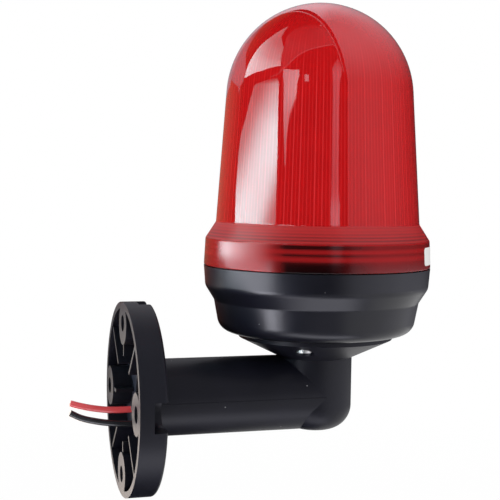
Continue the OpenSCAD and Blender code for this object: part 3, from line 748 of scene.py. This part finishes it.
def addFloor():
    # pale paper: white to the eye, and it keeps part of the object's shadow
    material, tree = surround("palePaper")
    lit = addNode(tree, "ShaderNodeBsdfDiffuse", {"Color": srgb("#f4f4f4")})
    glow = addNode(tree, "ShaderNodeEmission", {"Color": srgb("#ffffff"), "Strength": 1.0})
    spot = addNode(tree, "ShaderNodeTexCoord").outputs["Object"]
    away = addNode(tree, "ShaderNodeVectorMath", {0: spot}, operation="LENGTH").outputs["Value"]
    white = addNode(tree, "ShaderNodeMapRange", {0: away, 1: studio["whiteFrom"], 2: studio["whiteBeyond"],
                                                 3: studio["floorWhite"], 4: 1.0})
    share = addNode(tree, "ShaderNodeMath", {0: seenDirectly(tree), 1: white}, operation="MULTIPLY")
    mix = addNode(tree, "ShaderNodeMixShader", {0: share, 1: lit, 2: glow})
    addNode(tree, "ShaderNodeOutputMaterial", {"Surface": mix})
    half, z = studio["floorSize"] / 2, -studio["floorDrop"]
    corners = [(-half, -half, z), (half, -half, z), (half, half, z), (-half, half, z)]
    addSheet("paleFloor", corners, [(0, 1, 2, 3)], material)


def gridFaces(across, up):
    corners = [j * (across + 1) + i for j in range(up) for i in range(across)]
    return [(a, a + 1, a + across + 2, a + across + 1) for a in corners]


def addGlow(name, points, across, up, levels, colour=studio["glowWhite"]):
    # a glowing sheet that only the gloss sees; its points keep its level, so that it fades without an edge
    material, tree = surround(name)
    level = addNode(tree, "ShaderNodeAttribute", attribute_name="level").outputs["Fac"]
    glow = addNode(tree, "ShaderNodeEmission", {"Color": srgb(colour), "Strength": level})
    addNode(tree, "ShaderNodeOutputMaterial", {"Surface": glow})
    sheet = addSheet(name, points, gridFaces(across, up), material)
    stored = sheet.data.attributes.new("level", "FLOAT", "POINT")
    for i, value in enumerate(levels):
        stored.data[i].value = value
    sheet.visible_camera = sheet.visible_diffuse = sheet.visible_transmission = sheet.visible_shadow = False


# dark felt, lower in front than behind; walls are (name, left and right azimuth, lowest elevation)
felt = dict(reach=1.5, top=89, columns=16, rows=6, level=0.006,
            walls=[("feltFront", -140, 140, -22), ("feltBack", 140, 220, -12)])


def addFelt(name, left, right, low):
    points = []
    for j in range(felt["rows"] + 1):
        elevation = low + (felt["top"] - low) * j / felt["rows"]
        for i in range(felt["columns"] + 1):
            points.append(towards(left + (right - left) * i / felt["columns"], elevation, felt["reach"]))
    addGlow(name, points, felt["columns"], felt["rows"], [felt["level"]] * len(points))


# rows of a pane are (elevation, left azimuth, right azimuth, level on the left, level on the right)
panes = dict(
    windowBase=dict(reach=0.6, colour=studio["glowWhite"], rows=[
        (-36, -86, -63, 17, 19), (-24, -100, -63, 11, 12), (-14, -115, -63, 5.4, 5.4),
        (-7, -121, -63, 5, 4.4)]),
    windowFoot=dict(reach=0.6, colour="#ddf0f7", rows=[
        (-6.5, -120, -72, 17.5, 0.5), (0.4, -120, -68, 17.5, 1.0)]),
    windowFootEdge=dict(reach=0.6, colour="#ddf0f7", rows=[
        (-6.5, -136, -120, 0, 17.5), (0.4, -136, -120, 0, 17.5)]),
    # its light falls in a slanted band, which rises from the upper left edge and dies out to the lower right:
    # slope is degrees of azimuth for one of elevation, and left is the share of light that stays
    windowLow=dict(
        reach=0.6, colour="#bcf0f4", columns=24,
        rise=dict(slope=4.2, start=-157, width=36, left=0.15),
        fall=dict(slope=3.2, start=-104, width=20, left=0.18),
        rows=[
            (0.6, -121, -64, 9, 9), (2.4, -122.5, -64.5, 10, 10), (4.2, -124.5, -65, 10.5, 10.5),
            (5.7, -124.5, -65.5, 10.5, 10.5), (7.2, -124.5, -66, 10.8, 10.8),
            (8.8, -122.5, -66.5, 11.4, 11.4), (10.6, -115.5, -67, 11.8, 11.8), (12, -111, -68, 11.5, 11.5),
            (13.2, -106.5, -68.5, 9.5, 9.5), (15.6, -94.5, -69.5, 6, 6), (18, -84, -71, 4.5, 4.5),
            (19.4, -74, -72, 4, 4)]),
    windowHigh=dict(reach=0.8, colour="#c8f0f4", rows=[
        (17, -126, -124, 6, 6), (25, -128, -98, 6, 6), (32, -129, -73, 5.4, 4.6), (38, -130, -76, 3.8, 3),
        (51, -130, -84, 1.6, 1.6), (58, -132, -110, 1.3, 1.3), (64, -136, -134, 1.1, 1.1)]),
    windowSide=dict(reach=0.8, colour="#d8f0f8", rows=[
        (9.9, -58.2, -57.2, 1.8, 1.4), (10.6, -58.7, -57.2, 2.2, 1.5), (11.7, -60.2, -57, 2.4, 1.5),
        (12.5, -61.2, -56.2, 2.6, 1.7), (13.4, -62.2, -54.4, 2.8, 2.2), (14.1, -62.7, -51, 3.2, 3.2),
        (14.9, -63.2, -47, 3, 4), (22, -66, -45.2, 2.6, 4), (29, -67, -46.2, 2.8, 3.4)]),
    backPane=dict(reach=1.22, colour=studio["glowWhite"], rows=[
        (10.6, -136, -134, 0.6, 0.7), (11.6, -168, -132, 0.3, 0.7), (13.6, -177, -128, 0.25, 0.75),
        (21.6, -181, -129, 0.25, 0.75), (26.6, -181, -141, 0.25, 0.6), (28.6, -180, -153, 0.25, 0.4),
        (31.6, -175, -163, 0.25, 0.3)]),
    smallPane=dict(reach=0.8, colour=studio["glowWhite"], rows=[
        (17, -38, -33, 2.2, 2.2), (24, -39, -34, 2.2, 2.2)]),
    stripLamp=dict(reach=1.1, colour="#f0f0ff", rows=[
        (-6, -5.5, 3.4, 0.8, 0.8), (4, -5.6, 3.4, 0.8, 0.8), (5, -6, 4, 1.6, 1.6), (8, -6, 4, 1.5, 1.5),
        (8.8, -5.6, 3, 0.75, 0.75), (10, -5.2, 2.6, 0.7, 0.7), (14, -4.8, 2.8, 0.9, 0.9),
        (24, -5, 6, 1.1, 1.1), (31, -4.5, 7.5, 0.9, 0.9), (38, 0, 6.5, 0.5, 0.5), (42, 4, 5.5, 0.4, 0.4)]),
    ceiling=dict(reach=1.3, colour=studio["glowWhite"], rows=[
        (24, -72, -71, 0.25, 0.25), (33, -73, -64, 0.25, 0.25), (45, -80, -54, 0.25, 0.25),
        (53, -86, -41, 0.25, 0.25), (58, -95, -20, 0.25, 0.25), (60, -100, 4, 0.2, 0.25),
        (62, -105, 8, 0.15, 0.25), (70, -115, 8, 0.1, 0.25), (80, -130, 8, 0.05, 0.25),
        (88, -160, 8, 0, 0.2)]),
)


def slanted(band, azimuth, elevation):
    # 0 before the band's slanted start, 1 beyond its width
    return smoothStep((azimuth - band["slope"] * elevation - band["start"]) / band["width"])


def addPane(name, rows, reach, colour, columns=6, rise=None, fall=None):
    points, levels = [], []
    for elevation, left, right, leftLevel, rightLevel in rows:
        for i in range(columns + 1):
            azimuth = left + (right - left) * i / columns
            level = leftLevel + (rightLevel - leftLevel) * i / columns
            if rise:
                level *= rise["left"] + (1 - rise["left"]) * slanted(rise, azimuth, elevation)
            if fall:
                level *= 1 - (1 - fall["left"]) * slanted(fall, azimuth, elevation)
            points.append(towards(azimuth, elevation, reach))
            levels.append(level)
    addGlow(name, points, columns, len(rows) - 1, levels, colour)


# tapes along the tent's seams, as the (azimuth, elevation) that they follow; width in degrees
tape = dict(width=1.1, level=0.7, reach=1.0)
seams = dict(
    ceilingSeam=[(-82, 20), (-73, 23), (-64, 33), (-54, 45), (-41, 53), (-20, 58), (4, 60), (9, 58)],
    wallSeam=[(9.2, 27), (8.8, 34), (8.5, 45), (8.3, 60), (11, 75), (17, 82), (26, 85), (43.5, 87), (92, 88),
              (141.5, 87), (159, 85), (168, 82), (174, 75), (176.7, 60), (176, 45), (176, 33), (177, 24)],
)


def addTape(name, spots):
    points = []
    centre = Vector(studio["middle"])
    ways = [towards(azimuth, elevation, 1) - centre for azimuth, elevation in spots]
    for k, here in enumerate(ways):
        ahead = ways[min(k + 1, len(ways) - 1)] - ways[max(k - 1, 0)]
        side = here.cross(ahead).normalized() * math.radians(tape["width"]) / 2
        points += [centre + tape["reach"] * (here - side), centre + tape["reach"] * (here + side)]
    addGlow(name, points, 1, len(spots) - 1, [tape["level"]] * len(points))


# pale sides of the tent: ends are (elevation, left azimuth, right azimuth), and levels are (azimuth, level at
# the foot, low down and high up); one goes over into the next between the elevations in sideRise
sides = dict(
    paleSide=dict(
        reach=1.2, colour=studio["glowWhite"],
        ends=[(-24, 13, 173), (6, 13, 173), (9, 13, 196), (16, 13, 196), (24, 13, 184), (34, 13, 177),
              (44, 13.5, 171.5), (60, 15.4, 169), (70, 20, 165), (75, 25, 160), (78, 30.6, 154.4),
              (80, 36.5, 148.5), (82, 46.3, 138.7), (83, 54.5, 130.5), (84, 69, 116), (84.6, 92, 93)],
        levels=[(13, 1.2, 0.36, 1.0), (45, 1.9, 0.36, 1.0), (70, 1.8, 0.24, 0.9), (100, 0.9, 0.06, 0.85),
                (125, 0.3, 0.02, 0.85), (150, 0.1, 0.04, 1.1), (160, 0.1, 0.12, 1.5), (175, 0.1, 0.4, 1.5),
                (196, 0.1, 0.45, 1.2)]),
    warmBack=dict(
        reach=1.25, colour="#ff9a80", ends=[(-24, 174, 240), (50, 174, 240)],
        levels=[(174, 0.05, 0.5, 0.1), (195, 0.05, 0.5, 0.06), (215, 0.05, 0.4, 0.04), (240, 0, 0, 0)]),
)
sideRise = dict(foot=(-12, -5), top=(6, 60))


def between(stops, x):
    # values at x on the straight lines between the stops
    for (a, *before), (b, *after) in zip(stops, stops[1:]):
        if x <= b:
            return [p + (q - p) * (x - a) / (b - a) for p, q in zip(before, after)]
    return stops[-1][1:]


def addSide(name, ends, levels, reach, colour, columns=40, rows=160):
    (footLow, footHigh), (topLow, topHigh) = sideRise["foot"], sideRise["top"]
    points, glows = [], []
    for j in range(rows + 1):
        elevation = ends[0][0] + (ends[-1][0] - ends[0][0]) * j / rows
        left, right = between(ends, elevation)
        for i in range(columns + 1):
            azimuth = left + (right - left) * i / columns
            foot, low, high = between(levels, azimuth)
            level = foot + (low - foot) * smoothStep((elevation - footLow) / (footHigh - footLow))
            level += (high - low) * smoothStep((elevation - topLow) / (topHigh - topLow))
            points.append(towards(azimuth, elevation, reach))
            glows.append(level)
    addGlow(name, points, columns, rows, glows, colour)


# mats on the floor: two corners, the lift above the floor, the level, and how far in from the edge it fades
mats = dict(
    leftMat=dict(low=(-1.9, -2.2), high=(0.15, 1.5), lift=0.004, level=0.005, fade=0),
    nearMat=dict(low=(-0.25, -0.8), high=(0.2, -0.05), lift=0.01, level=0.5, fade=0.1),
    underMat=dict(low=(-0.26, -0.3), high=(0.28, -0.03), lift=0.014, level=3.4, fade=0.12),
)


def addMat(name, low, high, lift, level, fade, steps=24):
    points, levels = [], []
    for j in range(steps + 1):
        y = low[1] + (high[1] - low[1]) * j / steps
        for i in range(steps + 1):
            x = low[0] + (high[0] - low[0]) * i / steps
            inFromEdge = min(x - low[0], high[0] - x, y - low[1], high[1] - y)
            points.append((x, y, lift - studio["floorDrop"]))
            levels.append(level * smoothStep(inFromEdge / fade) if fade else level)
    addGlow(name, points, steps, steps, levels)


# small card beside the flange's far edge, so that the flange's back shines at a low angle
# z has (height, level), and x has (place, share of that level)
card = dict(z=((-0.075, 4.6), (0.0, 2.6), (0.03, 0.8)), y=0.047,
            x=((-0.045, 1), (-0.016, 1), (-0.009, 0.25), (0, 0.05)), colour="#fff0e4")


def addCard():
    points = [(x, card["y"], z) for z, level in card["z"] for x, share in card["x"]]
    levels = [level * share for z, level in card["z"] for x, share in card["x"]]
    addGlow("flangeCard", points, len(card["x"]) - 1, len(card["z"]) - 1, levels, card["colour"])


addWorld()
addFloor()
for wall in felt["walls"]:
    addFelt(*wall)
for name, pane in panes.items():
    addPane(name, **pane)
for name, spots in seams.items():
    addTape(name, spots)
for name, side in sides.items():
    addSide(name, **side)
for name, mat in mats.items():
    addMat(name, **mat)
addCard()
bpy.context.scene.view_settings.view_transform = "Standard"
print("studio set")
